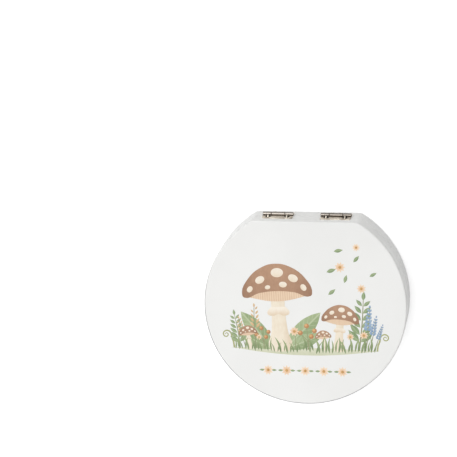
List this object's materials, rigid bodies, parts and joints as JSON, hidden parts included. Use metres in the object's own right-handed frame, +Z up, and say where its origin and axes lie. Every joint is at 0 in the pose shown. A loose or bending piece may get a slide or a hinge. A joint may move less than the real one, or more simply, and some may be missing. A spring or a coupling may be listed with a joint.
{
  "type": "baby tooth box",
  "caption": "Flat round wooden keepsake box with one straight side, a hinged lid held shut by magnets and an inner tray with a socket for each milk tooth around a keepsake well.",
  "frame": {"origin": "centre of the round outline, on the underside that the closed box rests on", "axes": "+X along the straight hinge side to the right seen from above with the hinges at the far side, +Y out of the hinge side, +Z up through the lid"},
  "size_m": [0.114, 0.1079, 0.0252],
  "materials": {
    "white_paint": "satin white paint on fibreboard",
    "natural_wood": "oiled pale beech",
    "hinge_metal": "plated sheet steel, warm grey",
    "nail_steel": "plated round-head nails",
    "magnet_nickel": "nickel plated disc magnet"
  },
  "bodies": {
    "base": {"base_floor": "white_paint", "base_rim": "white_paint", "tooth_tray": "natural_wood", "left_hinge_pin": "hinge_metal", "left_hinge_base_leaf": "hinge_metal", "base_magnet_left": "magnet_nickel", "left_hinge_base_nail_inner": "nail_steel", "left_hinge_base_nail_outer": "nail_steel", "right_hinge_pin": "hinge_metal", "right_hinge_base_leaf": "hinge_metal", "base_magnet_right": "magnet_nickel", "right_hinge_base_nail_inner": "nail_steel", "right_hinge_base_nail_outer": "nail_steel"},
    "lid": {"lid_rim": "white_paint", "lid_panel": "white_paint", "left_hinge_lid_leaf": "hinge_metal", "lid_magnet_left": "magnet_nickel", "left_hinge_lid_nail_inner": "nail_steel", "left_hinge_lid_nail_outer": "nail_steel", "right_hinge_lid_leaf": "hinge_metal", "lid_magnet_right": "magnet_nickel", "right_hinge_lid_nail_inner": "nail_steel", "right_hinge_lid_nail_outer": "nail_steel"}
  },
  "joints": [
    {"name": "lid_hinge", "type": "hinge", "parent": "base", "child": "lid", "pos_m": [0, 0.04985, 0.0126], "axis": [-1, 0, 0], "range_deg": [0, 180]}
  ]
}
